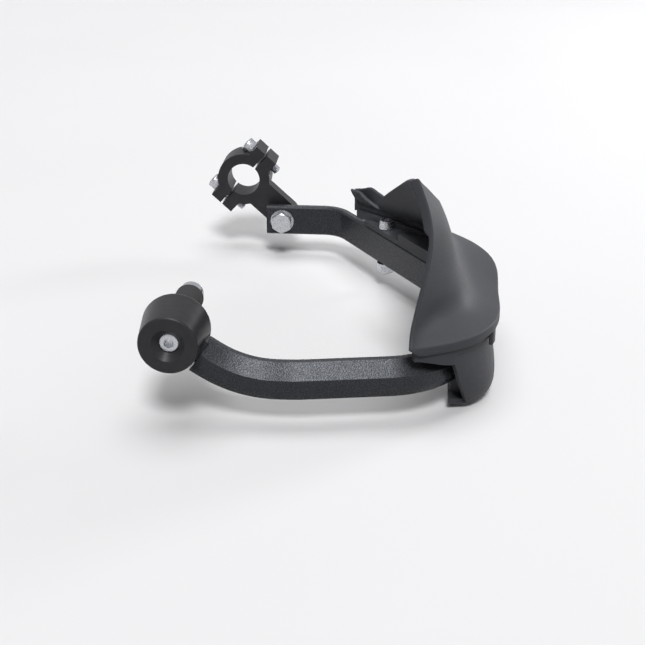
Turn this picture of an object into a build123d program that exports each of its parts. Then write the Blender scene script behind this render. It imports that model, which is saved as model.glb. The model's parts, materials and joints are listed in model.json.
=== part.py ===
from build123d import *
import os
from math import cos, hypot, radians, sin, tan

# Motorcycle hand guard for the right end of a handlebar, in millimetres.
# X runs outboard along the handlebar's axis, Y forward and Z up.
# The origin is the centre of the handlebar tube's end face.

# Handlebar tube
BAR_DIAMETER = 22.2
BAR_BORE = 16.0

# Common fits
BORE_GAP = 0.4
SLIDE_GAP = 0.15
THREAD_GAP = 0.05

# Fasteners: thread, head and nut sizes
M6 = 6.0
M6_HOLE = 6.6
M6_HEAD = 10.0
M6_HEAD_HEIGHT = 6.0
M6_KEY = 5.0
M6_NUT = 10.0
M6_NUT_HEIGHT = 5.0
M6_WASHER = 12.0
M6_WASHER_THICKNESS = 1.6
M8 = 8.0
M8_HOLE = 8.4
M8_HEAD = 13.0
M8_HEAD_HEIGHT = 5.3
M8_NUT_HEIGHT = 6.5
M8_WASHER = 16.0
M8_WASHER_THICKNESS = 1.6
KEY_DEPTH = 3.0
HEAD_CHAMFER = 0.6
THREAD_END = 1.5

# Bar-end weight
WEIGHT_LENGTH = 33.0
WEIGHT_REAR = 37.0
WEIGHT_FRONT = 30.7
WEIGHT_EDGE = 1.3
WEIGHT_REAR_EDGE = 3.0
WEIGHT_NECK = 20.0
NECK_LENGTH = 5.5
DISH_DIAMETER = 17.4
DISH_DEPTH = 3.5
SPIGOT_LENGTH = 6.0
POCKET_NEAR = 0.5
POCKET_FAR = 9.0
POCKET_FLOOR = 12.5
POCKET_MARGIN = 0.8

# Expander inside the tube
SLEEVE_LENGTH = 24.0
CONE_LENGTH = 6.0
CONE_SMALL = 9.0
EXPANDER_NUT_DIAMETER = 13.4
EXPANDER_NUT_COLLAR = 7.0

# Bow section
BOW_HEIGHT = 20.2
BOW_THICKNESS = 10.6
BOW_TOP_FLAT = 4.6
BOW_UPPER_BEVEL = 8.1
BOW_LOWER_BEVEL = 5.8
BOW_LOWER_INSET = 3.0
BOW_INNER_EDGE = 1.2
BOW_AXIS_BELOW_TOP = 7.0

# Bow route
TONGUE_X = 14.7
BOW_DROP = 22.6
DROP_ANGLE = 33.5
DROP_RADIUS = 60.0
ARM_STRAIGHT = 62.0
ARM_TURN_IN = 9.7
ARM_RADIUS = 80.0
FRONT_Y = 150.0
CORNER_RADIUS = 48.0
STRAP_START_X = -109.3
STRAP_ANGLE = 32.3
STRAP_RADIUS = 30.0
LEG_X = -238.0
LEG_RADIUS = 22.0
LEG_END_Y = 17.0

# Tongue in the weight
TONGUE_THICKNESS = 8.0
TONGUE_HEIGHT = 13.6
SHOULDER_GAP = 4.8

# Handlebar clamp
CLAMP_WIDTH = 20.0
CLAMP_WALL = 7.0
CLAMP_SPLIT = 1.6
CLAMP_EAR = 9.0
CLAMP_EAR_MARGIN = 1.5
CLAMP_SCREW_OFFSET = 18.0
CLAMP_SCREW_LENGTH = 25.0
LUG_WIDTH = 10.0
LUG_RADIUS = 10.0
LUG_HOLE_Y = 28.0

# Shell levels
BRIM_TOP = -5.0
BRIM_HEIGHT = 5.0
BAND_HEIGHT = 5.0
DECK_TOP = -9.0
DECK_THICKNESS = 3.0
TAB_THICKNESS = 3.0
CHIN_BOTTOM = -50.0
CHIN_FLOOR = 3.0
SKIN = 2.4
BAND_GAP = 0.2
BAND_WALL = 2.8
CHIN_WALL = 2.8

# Plan lines of the spoiler's outer skin, each from the outboard edge round the front to the inboard end
BRIM_LINE = [
    (16.5, 120.8), (-0.5, 151.4), (-23.4, 165.7), (-65, 169.5),
    (-112, 168), (-140, 158.5), (-176, 128), (-214.5, 84.5),
]
SHELF_LINE = [
    (12.5, 122.4), (-8, 137), (-24, 150), (-60, 152.5),
    (-106, 149), (-135, 142), (-173, 117.5), (-213, 79),
]
FOOT_LINE = [
    (9, 124.6), (-8, 135.5), (-26, 145), (-60, 146),
    (-107, 141), (-138, 134), (-174, 110), (-213, 74),
]
LOW_LINE = [
    (4, 128.2), (-8.5, 135), (-24, 140.5), (-58, 139),
    (-108, 131.5), (-140, 122), (-176, 101), (-212, 67),
]
HIGH_LINE = [
    (-2.3, 130.4), (-11, 133), (-21, 135), (-55, 131),
    (-105, 120.5), (-142, 110), (-177, 91), (-211, 60),
]
TIP_LINE = [
    (-11.5, 121), (-16, 120.5), (-24, 119.5), (-48, 115),
    (-100, 103), (-140, 92), (-176, 77), (-209, 48),
]
SPOILER_SECTIONS = [
    (BRIM_TOP, BRIM_LINE),
    (3, SHELF_LINE),
    (14, FOOT_LINE),
    (30, LOW_LINE),
    (50, HIGH_LINE),
    (80, TIP_LINE),
]
HORN_RIM = [(-2.3, 128.4, 50), (-6, 125.2, 64), (-10, 120.4, 75.5)]
HORN_RIM_DIAMETER = 4.6

# Top edge of the spoiler in front view: from the horn's tip along the slope, then the notch and the fin
TOP_EDGE = [(-10.5, 77), (-17, 69.5), (-63, 53.5), (-110, 44.5), (-141, 36), (-165, 25), (-194.7, 3.5)]
NOTCH = (-201, -4)
FIN_TOP = (-206.5, 5.5)

# Plan lines of the chin's outer skin
CHIN_SECTIONS = [
    (-13.0, [(4, 142), (-3.2, 149), (-20, 160), (-42, 165), (-62, 165.8)]),
    (-22.0, [(1.5, 145), (-4.5, 151), (-20, 160.5), (-42, 165.2), (-62, 165.8)]),
    (-34.0, [(-2.5, 148.2), (-8.5, 155.5), (-21, 163.3), (-41, 167), (-60, 166.5)]),
    (-44.0, [(-9, 150.8), (-14.5, 158), (-24, 164.3), (-39, 167), (-55, 166)]),
    (CHIN_BOTTOM, [(-14.5, 152), (-18.5, 157.5), (-26, 162), (-37, 164), (-50, 163)]),
]

# Shell fixings
CORNER_HEADING = 71.0
STRAP_SCREW_X = -185.0
DECK_END_X = -163.0
TAB_END_X = -200.0
TAB_OVERLAP = 6.0
LIP_THICKNESS = 2.5
LIP_HEIGHT = 7.5
HEAD_ROOM = 0.6
CLIP_POINT = (-23.4, 164.2)
CLIP_WIDTH = 6.0
CLIP_DROP = 8.0
BAND_START = 0.12
SPACER_DIAMETER = 10.0
FLOOR_MARGIN = 0.5
FLOOR_CORNER = 2.0
BUTTON_HEAD = 10.5
BUTTON_HEIGHT = 3.5
BUTTON_TAPER = 20
SPOILER_SCREW_POINTS = [(-60.0, 156.5), (-105.0, 155.0), (-138.0, 144.5)]
SPOILER_SCREW = 4.0
SPOILER_SCREW_LENGTH = 7.5
SPOILER_HOLE_TOP = -4.0
SPOILER_SCREW_HEAD = 8.0
SPOILER_HEAD_HEIGHT = 2.4
BOSS_DIAMETER = 7.0
BOSS_HEIGHT = 6.0

# Values worked out from the driving sizes
drop = radians(DROP_ANGLE)
turn_in = radians(ARM_TURN_IN)
strap = radians(STRAP_ANGLE)
drop_y = BOW_DROP / tan(drop)
front_x = TONGUE_X - (FRONT_Y - ARM_STRAIGHT) * tan(turn_in)
leg_y = FRONT_Y - (STRAP_START_X - LEG_X) * tan(strap)
bow_top = BOW_AXIS_BELOW_TOP - BOW_DROP
bow_bottom = bow_top - BOW_HEIGHT
bow_middle = (bow_top + bow_bottom) / 2
plug_diameter = BAR_BORE - BORE_GAP
seat_x = WEIGHT_LENGTH - DISH_DEPTH - M6_HEAD_HEIGHT
sleeve_end = -SPIGOT_LENGTH - SLEEVE_LENGTH
expander_end = sleeve_end - EXPANDER_NUT_COLLAR
brim_bottom = BRIM_TOP - BRIM_HEIGHT
deck_bottom = DECK_TOP - DECK_THICKNESS
tab_top = bow_top + SLIDE_GAP + TAB_THICKNESS


def unit(x, y):
    """The direction (x, y) at length 1."""
    size = hypot(x, y)
    return x / size, y / size


def inset(points, distance):
    """A plan line moved towards the rider by a distance."""
    moved = []
    for index, (x, y) in enumerate(points):
        before = points[max(index - 1, 0)]
        after = points[min(index + 1, len(points) - 1)]
        along_x, along_y = unit(after[0] - before[0], after[1] - before[1])
        moved.append((x - along_y * distance, y + along_x * distance))
    return moved


def strap_y(x, aside=0.0):
    """Where the strap's middle line, moved aside towards the front, crosses a given x."""
    return FRONT_Y - (STRAP_START_X - x) * tan(strap) + aside / cos(strap)


# The corner screw stands on the bow's front corner, the strap screw on the strap
corner_reach = CORNER_RADIUS * tan(radians(90 - ARM_TURN_IN) / 2)
corner_centre = (front_x - corner_reach, FRONT_Y - CORNER_RADIUS)
corner_point = (
    corner_centre[0] + CORNER_RADIUS * cos(radians(CORNER_HEADING)),
    corner_centre[1] + CORNER_RADIUS * sin(radians(CORNER_HEADING)),
)
strap_point = (STRAP_SCREW_X, strap_y(STRAP_SCREW_X))

os.makedirs("parts", exist_ok=True)

# Plane of the tongue: its x runs along the dropping arm, its z along the handlebar
tongue_plane = Plane(origin=(TONGUE_X, 0, 0), x_dir=(0, cos(drop), -sin(drop)), z_dir=(1, 0, 0))

with BuildPart() as bar_end_weight:
    with BuildSketch(Plane.XY) as profile:
        with BuildLine():
            Polyline(
                (-SPIGOT_LENGTH, 0),
                (-SPIGOT_LENGTH, plug_diameter / 2),
                (0, plug_diameter / 2),
                (0, WEIGHT_NECK / 2),
                (NECK_LENGTH, WEIGHT_NECK / 2),
                (NECK_LENGTH, WEIGHT_REAR / 2),
                (WEIGHT_LENGTH, WEIGHT_FRONT / 2),
                (WEIGHT_LENGTH, DISH_DIAMETER / 2),
                (WEIGHT_LENGTH - DISH_DEPTH, M6_HEAD / 2 + SLIDE_GAP),
                (seat_x, M6_HEAD / 2 + SLIDE_GAP),
                (seat_x, 0),
                close=True,
            )
        make_face()
    revolve(axis=Axis.X)
    face_edges = edges().filter_by(GeomType.CIRCLE).group_by(Axis.X)[-1]
    fillet(face_edges.sort_by(SortBy.RADIUS)[-1], WEIGHT_EDGE)
    fillet(edges().filter_by(GeomType.CIRCLE).sort_by(SortBy.RADIUS)[-1], WEIGHT_REAR_EDGE)
    slot_half = TONGUE_THICKNESS / 2 + SLIDE_GAP
    with BuildSketch(tongue_plane.offset(-slot_half)) as slot:
        Circle(TONGUE_HEIGHT / 2 + SLIDE_GAP)
        with Locations((WEIGHT_REAR / 2, 0)):
            Rectangle(WEIGHT_REAR, TONGUE_HEIGHT + 2 * SLIDE_GAP)
    extrude(amount=2 * slot_half, mode=Mode.SUBTRACT)
    pocket_width = BOW_THICKNESS + POCKET_NEAR + POCKET_FAR
    with BuildSketch(tongue_plane.offset(-BOW_THICKNESS / 2 - POCKET_NEAR)) as pocket:
        with Locations((POCKET_FLOOR + WEIGHT_REAR / 2, BOW_AXIS_BELOW_TOP - BOW_HEIGHT / 2)):
            Rectangle(WEIGHT_REAR, BOW_HEIGHT + 2 * POCKET_MARGIN)
    extrude(amount=pocket_width, mode=Mode.SUBTRACT)
    with BuildSketch(Plane.YZ.offset(-SPIGOT_LENGTH)) as bore:
        Circle(M6_HOLE / 2)
    extrude(amount=SPIGOT_LENGTH + WEIGHT_LENGTH, mode=Mode.SUBTRACT)
bar_end_weight.part.label = "bar_end_weight"
export_step(bar_end_weight.part, "parts/bar_end_weight.step")

with BuildPart() as bar_end_screw:
    with BuildSketch(Plane.YZ.offset(seat_x)) as head:
        Circle(M6_HEAD / 2)
    extrude(amount=M6_HEAD_HEIGHT)
    chamfer(edges().group_by(Axis.X)[-1], HEAD_CHAMFER)
    with BuildSketch(Plane.YZ.offset(seat_x)) as shank:
        Circle(M6 / 2)
    extrude(amount=expander_end - THREAD_END - seat_x)
    with BuildSketch(Plane.YZ.offset(seat_x + M6_HEAD_HEIGHT)) as key:
        RegularPolygon(M6_KEY / 2, 6, major_radius=False)
    extrude(amount=-KEY_DEPTH, mode=Mode.SUBTRACT)
bar_end_screw.part.label = "bar_end_screw"
export_step(bar_end_screw.part, "parts/bar_end_screw.step")

with BuildPart() as expander_sleeve:
    with BuildSketch(Plane.XY) as profile:
        with BuildLine():
            Polyline(
                (-SPIGOT_LENGTH, M6_HOLE / 2),
                (-SPIGOT_LENGTH, plug_diameter / 2),
                (sleeve_end, plug_diameter / 2),
                (sleeve_end, EXPANDER_NUT_DIAMETER / 2),
                (sleeve_end + CONE_LENGTH, CONE_SMALL / 2),
                (sleeve_end + CONE_LENGTH, M6_HOLE / 2),
                close=True,
            )
        make_face()
    revolve(axis=Axis.X)
expander_sleeve.part.label = "expander_sleeve"
export_step(expander_sleeve.part, "parts/expander_sleeve.step")

with BuildPart() as expander_nut:
    with BuildSketch(Plane.XY) as profile:
        with BuildLine():
            Polyline(
                (sleeve_end + CONE_LENGTH, M6 / 2 + THREAD_GAP),
                (sleeve_end + CONE_LENGTH, CONE_SMALL / 2),
                (sleeve_end, EXPANDER_NUT_DIAMETER / 2),
                (expander_end, EXPANDER_NUT_DIAMETER / 2),
                (expander_end, M6 / 2 + THREAD_GAP),
                close=True,
            )
        make_face()
    revolve(axis=Axis.X)
expander_nut.part.label = "expander_nut"
export_step(expander_nut.part, "parts/expander_nut.step")

# Bow: the bevelled bar is swept along its bends, then the tongue and the bores are machined
with BuildPart() as guard_bow:
    with BuildLine() as route:
        FilletPolyline(
            (TONGUE_X, 0, 0),
            (TONGUE_X, drop_y, -BOW_DROP),
            (TONGUE_X, ARM_STRAIGHT, -BOW_DROP),
            (front_x, FRONT_Y, -BOW_DROP),
            (STRAP_START_X, FRONT_Y, -BOW_DROP),
            (LEG_X, leg_y, -BOW_DROP),
            (LEG_X, LEG_END_Y, -BOW_DROP),
            radius=[DROP_RADIUS, ARM_RADIUS, CORNER_RADIUS, STRAP_RADIUS, LEG_RADIUS],
        )
    section_plane = Plane(origin=(TONGUE_X, 0, 0), x_dir=(-1, 0, 0), z_dir=(0, cos(drop), -sin(drop)))
    with BuildSketch(section_plane) as section:
        with BuildLine():
            half = BOW_THICKNESS / 2
            top = BOW_AXIS_BELOW_TOP
            bottom = top - BOW_HEIGHT
            Polyline(
                (half - BOW_INNER_EDGE, top),
                (half - BOW_TOP_FLAT, top),
                (-half, top - BOW_UPPER_BEVEL),
                (-half, bottom + BOW_LOWER_BEVEL),
                (-half + BOW_LOWER_INSET, bottom),
                (half - BOW_INNER_EDGE, bottom),
                (half, bottom + BOW_INNER_EDGE),
                (half, top - BOW_INNER_EDGE),
                close=True,
            )
        make_face()
    sweep(path=route.line)
    shoulder_x = POCKET_FLOOR + SHOULDER_GAP
    with BuildSketch(tongue_plane.offset(-BOW_THICKNESS)) as shoulder:
        with Locations((shoulder_x - BOW_HEIGHT, 0)):
            Rectangle(2 * BOW_HEIGHT, 2 * BOW_HEIGHT)
    extrude(amount=2 * BOW_THICKNESS, mode=Mode.SUBTRACT)
    with BuildSketch(tongue_plane.offset(-TONGUE_THICKNESS / 2)) as tongue:
        Circle(TONGUE_HEIGHT / 2)
        with Locations((shoulder_x / 2, 0)):
            Rectangle(shoulder_x, TONGUE_HEIGHT)
        Circle(M6_HOLE / 2, mode=Mode.SUBTRACT)
    extrude(amount=TONGUE_THICKNESS)
    with BuildSketch(Plane.XY.offset(bow_top)) as shell_bores:
        with Locations(corner_point, strap_point):
            Circle(M6_HOLE / 2)
    extrude(amount=-BOW_HEIGHT, mode=Mode.SUBTRACT)
    with BuildSketch(Plane.YZ.offset(LEG_X - BOW_THICKNESS)) as clamp_bore:
        with Locations((LUG_HOLE_Y, bow_middle)):
            Circle(M8_HOLE / 2)
    extrude(amount=2 * BOW_THICKNESS, mode=Mode.SUBTRACT)
guard_bow.part.label = "guard_bow"
export_step(guard_bow.part, "parts/guard_bow.step")

# Clamp: its plane has x towards the bow's bore and z along the handlebar
lug_reach = hypot(LUG_HOLE_Y, bow_middle)
lug_x = LEG_X - BOW_THICKNESS / 2
clamp_plane = Plane(
    origin=(lug_x, 0, 0),
    x_dir=(0, LUG_HOLE_Y / lug_reach, bow_middle / lug_reach),
    z_dir=(-1, 0, 0),
)
clamp_radius = BAR_DIAMETER / 2 + CLAMP_WALL
ear_reach = CLAMP_SCREW_OFFSET + CLAMP_EAR / 2 + CLAMP_EAR_MARGIN

with BuildPart() as clamp_body:
    with BuildSketch(clamp_plane) as ring:
        Circle(clamp_radius)
        Rectangle(2 * CLAMP_EAR, 2 * ear_reach)
        with Locations((-clamp_radius + CLAMP_SPLIT / 2, 0)):
            Rectangle(2 * clamp_radius, 4 * clamp_radius, mode=Mode.SUBTRACT)
        Circle(BAR_DIAMETER / 2, mode=Mode.SUBTRACT)
    extrude(amount=CLAMP_WIDTH)
    with BuildSketch(clamp_plane) as lug:
        with Locations((lug_reach / 2 + BAR_DIAMETER / 4, 0)):
            Rectangle(lug_reach - BAR_DIAMETER / 2, 2 * LUG_RADIUS)
        with Locations((lug_reach, 0)):
            Circle(LUG_RADIUS)
            Circle(M8_HOLE / 2, mode=Mode.SUBTRACT)
        Circle(BAR_DIAMETER / 2 + CLAMP_WALL / 2, mode=Mode.SUBTRACT)
    extrude(amount=LUG_WIDTH)
    screw_plane = Plane(
        origin=clamp_plane.from_local_coords((0, 0, CLAMP_WIDTH / 2)),
        x_dir=(1, 0, 0),
        z_dir=clamp_plane.x_dir,
    )
    with BuildSketch(screw_plane) as threads:
        with Locations((0, CLAMP_SCREW_OFFSET), (0, -CLAMP_SCREW_OFFSET)):
            Circle(M6 / 2 + THREAD_GAP)
    extrude(amount=2 * CLAMP_EAR, mode=Mode.SUBTRACT)
clamp_body.part.label = "clamp_body"
export_step(clamp_body.part, "parts/clamp_body.step")

with BuildPart() as clamp_cap:
    with BuildSketch(clamp_plane) as ring:
        Circle(clamp_radius)
        Rectangle(2 * CLAMP_EAR, 2 * ear_reach)
        with Locations((clamp_radius - CLAMP_SPLIT / 2, 0)):
            Rectangle(2 * clamp_radius, 4 * clamp_radius, mode=Mode.SUBTRACT)
        Circle(BAR_DIAMETER / 2, mode=Mode.SUBTRACT)
    extrude(amount=CLAMP_WIDTH)
    with BuildSketch(screw_plane) as bores:
        with Locations((0, CLAMP_SCREW_OFFSET), (0, -CLAMP_SCREW_OFFSET)):
            Circle(M6_HOLE / 2)
    extrude(amount=-2 * CLAMP_EAR, mode=Mode.SUBTRACT)
    with BuildSketch(screw_plane.offset(-CLAMP_EAR)) as head_room:
        with Locations((0, CLAMP_SCREW_OFFSET), (0, -CLAMP_SCREW_OFFSET)):
            Circle(M6_HEAD / 2 + SLIDE_GAP)
    extrude(amount=-clamp_radius, mode=Mode.SUBTRACT)
clamp_cap.part.label = "clamp_cap"
export_step(clamp_cap.part, "parts/clamp_cap.step")

with BuildPart() as clamp_screws:
    head_plane = screw_plane.offset(-CLAMP_EAR)
    for side in (-1, 1):
        with BuildSketch(head_plane) as head:
            with Locations((0, side * CLAMP_SCREW_OFFSET)):
                Circle(M6_HEAD / 2)
        extrude(amount=-M6_HEAD_HEIGHT)
        with BuildSketch(head_plane) as shank:
            with Locations((0, side * CLAMP_SCREW_OFFSET)):
                Circle(M6 / 2)
        extrude(amount=CLAMP_SCREW_LENGTH - THREAD_END)
        with BuildSketch(head_plane.offset(-M6_HEAD_HEIGHT)) as key:
            with Locations((0, side * CLAMP_SCREW_OFFSET)):
                RegularPolygon(M6_KEY / 2, 6, major_radius=False)
        extrude(amount=KEY_DEPTH, mode=Mode.SUBTRACT)
clamp_screws.part.label = "clamp_screws"
export_step(clamp_screws.part, "parts/clamp_screws.step")

# M8 bolt through the bow's inner end and the lug, with a washer at each side
bolt_seat = (LEG_X + BOW_THICKNESS / 2, LUG_HOLE_Y, bow_middle)
bolt_plane = Plane(origin=bolt_seat, x_dir=(0, 1, 0), z_dir=(1, 0, 0))
bolt_grip = BOW_THICKNESS + LUG_WIDTH

with BuildPart() as clamp_washers:
    with BuildSketch(bolt_plane, bolt_plane.offset(-bolt_grip - M8_WASHER_THICKNESS)) as rings:
        Circle(M8_WASHER / 2)
        Circle(M8_HOLE / 2, mode=Mode.SUBTRACT)
    extrude(amount=M8_WASHER_THICKNESS)
clamp_washers.part.label = "clamp_washers"
export_step(clamp_washers.part, "parts/clamp_washers.step")

with BuildPart() as clamp_bolt:
    with BuildSketch(bolt_plane.offset(M8_WASHER_THICKNESS)) as head:
        RegularPolygon(M8_HEAD / 2, 6, major_radius=False)
    extrude(amount=M8_HEAD_HEIGHT)
    with BuildSketch(bolt_plane.offset(M8_WASHER_THICKNESS)) as shank:
        Circle(M8 / 2)
    extrude(amount=-bolt_grip - 2 * M8_WASHER_THICKNESS - M8_NUT_HEIGHT - THREAD_END)
clamp_bolt.part.label = "clamp_bolt"
export_step(clamp_bolt.part, "parts/clamp_bolt.step")

with BuildPart() as clamp_nut:
    with BuildSketch(bolt_plane.offset(-bolt_grip - M8_WASHER_THICKNESS)) as nut:
        RegularPolygon(M8_HEAD / 2, 6, major_radius=False)
        Circle(M8 / 2 + THREAD_GAP, mode=Mode.SUBTRACT)
    extrude(amount=-M8_NUT_HEIGHT)
clamp_nut.part.label = "clamp_nut"
export_step(clamp_nut.part, "parts/clamp_nut.step")

# Spoiler: a surface lofted through the plan lines and thickened, with the brim's rim and the horn's edge
plan_lines = []
for level, points in SPOILER_SECTIONS:
    with BuildLine(Plane.XY.offset(level)) as plan_line:
        Spline(*points)
    plan_lines.append(plan_line.wire())
skin_surface = Shell.make_loft(plan_lines).face()

with BuildPart() as spoiler:
    horn_top = SPOILER_SECTIONS[-1][0]
    thicken(skin_surface, amount=-SKIN)
    rim_line = inset(BRIM_LINE, SKIN)
    with BuildSketch(Plane.XY.offset(brim_bottom)) as rim:
        with BuildLine():
            Spline(*BRIM_LINE)
            Line(BRIM_LINE[-1], rim_line[-1])
            Spline(*reversed(rim_line))
            Line(rim_line[0], BRIM_LINE[0])
        make_face()
    extrude(amount=BRIM_HEIGHT)
    with BuildLine() as horn_edge:
        Spline(*HORN_RIM)
    with BuildSketch(Plane(origin=HORN_RIM[0], z_dir=horn_edge.line % 0)) as rim_section:
        Circle(HORN_RIM_DIAMETER / 2)
    sweep(path=horn_edge.line)
    with Locations(HORN_RIM[-1]):
        Sphere(HORN_RIM_DIAMETER / 2)
    with BuildSketch(Plane.XY.offset(brim_bottom)) as clip:
        add(rim.sketch)
        with Locations(CLIP_POINT):
            Circle(CLIP_WIDTH / 2, mode=Mode.INTERSECT)
    extrude(amount=-CLIP_DROP)
    with BuildSketch(Plane.XZ.offset(-FRONT_Y * 2)) as above:
        with BuildLine():
            Spline(*TOP_EDGE)
            Polyline(
                TOP_EDGE[-1],
                NOTCH,
                FIN_TOP,
                (LEG_X, FIN_TOP[1]),
                (LEG_X, 2 * horn_top),
                (WEIGHT_REAR, 2 * horn_top),
                (WEIGHT_REAR, TOP_EDGE[0][1]),
                TOP_EDGE[0],
            )
        make_face()
    extrude(amount=FRONT_Y * 2, mode=Mode.SUBTRACT)
    with BuildSketch(Plane.XY.offset(DECK_TOP)) as bosses:
        with Locations(*SPOILER_SCREW_POINTS):
            Circle(BOSS_DIAMETER / 2)
    extrude(amount=BOSS_HEIGHT)
    with BuildSketch(Plane.XY.offset(brim_bottom)) as screw_holes:
        with Locations(*SPOILER_SCREW_POINTS):
            Circle(SPOILER_SCREW / 2 + THREAD_GAP)
    extrude(amount=SPOILER_HOLE_TOP - brim_bottom, mode=Mode.SUBTRACT)
spoiler.part.label = "spoiler"
export_step(spoiler.part, "parts/spoiler.step")

# Lower shell: band under the brim, deck over the bow, chin round the bow's front corner, tab on the strap
with BuildPart() as lower_shell:
    start_x = BRIM_LINE[0][0] + (BRIM_LINE[1][0] - BRIM_LINE[0][0]) * BAND_START
    start_y = BRIM_LINE[0][1] + (BRIM_LINE[1][1] - BRIM_LINE[0][1]) * BAND_START
    band_line = [(start_x, start_y)] + BRIM_LINE[1:]
    band_outer = inset(band_line, SKIN + BAND_GAP)
    band_inner = inset(band_line, SKIN + BAND_GAP + BAND_WALL)
    with BuildSketch(Plane.XY.offset(DECK_TOP)) as band:
        with BuildLine():
            Spline(*band_outer)
            Line(band_outer[-1], band_inner[-1])
            Spline(*reversed(band_inner))
            Line(band_inner[0], band_outer[0])
        make_face()
    extrude(amount=-BAND_HEIGHT)
    deck_line = inset(band_line, SKIN + BAND_GAP + BAND_WALL / 2)
    inner_face = -BOW_THICKNESS / 2
    tab_bottom = bow_top + SLIDE_GAP
    for level, thickness, from_x, to_x in (
        (deck_bottom, DECK_THICKNESS, DECK_END_X, 2 * FRONT_Y),
        (tab_bottom, TAB_THICKNESS, TAB_END_X, DECK_END_X + TAB_OVERLAP),
    ):
        with BuildSketch(Plane.XY.offset(level)) as plate:
            with BuildLine():
                Spline(*deck_line)
                Polyline(
                    deck_line[-1],
                    (deck_line[-1][0], strap_y(deck_line[-1][0], inner_face)),
                    (STRAP_START_X, strap_y(STRAP_START_X, inner_face)),
                    (corner_centre[0], FRONT_Y + inner_face),
                    (corner_point[0] + inner_face, corner_point[1] + 2 * inner_face),
                    deck_line[0],
                )
            make_face()
            with Locations(((from_x + to_x) / 2, 0)):
                Rectangle(to_x - from_x, 4 * FRONT_Y, mode=Mode.INTERSECT)
        extrude(amount=thickness)
    for level, outer in CHIN_SECTIONS:
        inner = inset(outer, CHIN_WALL)
        with BuildSketch(Plane.XY.offset(level)) as section:
            with BuildLine():
                Spline(*outer)
                Line(outer[-1], inner[-1])
                Spline(*reversed(inner))
                Line(inner[0], outer[0])
            make_face()
    loft()
    floor_line = CHIN_SECTIONS[-1][1]
    floor_back = corner_point[1] - SPACER_DIAMETER / 2 - FLOOR_MARGIN
    with BuildSketch(Plane.XY.offset(CHIN_BOTTOM)) as floor:
        with BuildLine():
            Spline(*floor_line)
            Polyline(
                floor_line[-1],
                (floor_line[-1][0], floor_back),
                (floor_line[0][0] + FLOOR_CORNER, floor_back),
                floor_line[0],
            )
        make_face()
    extrude(amount=CHIN_FLOOR)
    with BuildSketch(Plane.XY.offset(tab_bottom)) as lip:
        with BuildLine():
            Polyline(
                (DECK_END_X, strap_y(DECK_END_X, inner_face)),
                (STRAP_START_X, strap_y(STRAP_START_X, inner_face)),
                (corner_centre[0], FRONT_Y + inner_face),
                (corner_centre[0], FRONT_Y + inner_face + LIP_THICKNESS),
                (STRAP_START_X, strap_y(STRAP_START_X, inner_face + LIP_THICKNESS)),
                (DECK_END_X, strap_y(DECK_END_X, inner_face + LIP_THICKNESS)),
                close=True,
            )
        make_face()
    extrude(amount=LIP_HEIGHT)
    with BuildSketch(Plane.XY.offset(tab_top)) as head_room:
        with Locations(strap_point):
            Circle(M6_HEAD / 2 + HEAD_ROOM)
    extrude(amount=M6_HEAD_HEIGHT, mode=Mode.SUBTRACT)
    with BuildSketch(Plane.XY.offset(CHIN_BOTTOM)) as shell_bores:
        with Locations(corner_point, strap_point):
            Circle(M6_HOLE / 2)
        with Locations(*SPOILER_SCREW_POINTS):
            Circle(SPOILER_SCREW / 2 + SLIDE_GAP)
    extrude(amount=DECK_TOP - CHIN_BOTTOM, mode=Mode.SUBTRACT)
lower_shell.part.label = "lower_shell"
export_step(lower_shell.part, "parts/lower_shell.step")

# Corner fixing: screw from below, spacer tube under the bow, pad over it, nut on the deck
with BuildPart() as corner_spacer:
    with BuildSketch(Plane.XY.offset(CHIN_BOTTOM + CHIN_FLOOR)) as tube:
        with Locations(corner_point):
            Circle(SPACER_DIAMETER / 2)
            Circle(M6_HOLE / 2, mode=Mode.SUBTRACT)
    extrude(amount=bow_bottom - CHIN_BOTTOM - CHIN_FLOOR)
corner_spacer.part.label = "corner_spacer"
export_step(corner_spacer.part, "parts/corner_spacer.step")

with BuildPart() as corner_pad:
    with BuildSketch(Plane.XY.offset(bow_top)) as ring:
        with Locations(corner_point):
            Circle(BOW_THICKNESS / 2)
            Circle(M6_HOLE / 2, mode=Mode.SUBTRACT)
    extrude(amount=deck_bottom - bow_top)
corner_pad.part.label = "corner_pad"
export_step(corner_pad.part, "parts/corner_pad.step")

with BuildPart() as corner_screw:
    with BuildSketch(Plane.XY.offset(CHIN_BOTTOM)) as head:
        with Locations(corner_point):
            Circle(BUTTON_HEAD / 2)
    extrude(amount=-BUTTON_HEIGHT, taper=BUTTON_TAPER)
    with BuildSketch(Plane.XY.offset(CHIN_BOTTOM)) as shank:
        with Locations(corner_point):
            Circle(M6 / 2)
    extrude(amount=DECK_TOP + M6_NUT_HEIGHT + THREAD_END - CHIN_BOTTOM)
    with BuildSketch(Plane.XY.offset(CHIN_BOTTOM - BUTTON_HEIGHT)) as key:
        with Locations(corner_point):
            RegularPolygon(M6_KEY / 2, 6, major_radius=False)
    extrude(amount=KEY_DEPTH, mode=Mode.SUBTRACT)
corner_screw.part.label = "corner_screw"
export_step(corner_screw.part, "parts/corner_screw.step")

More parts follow.
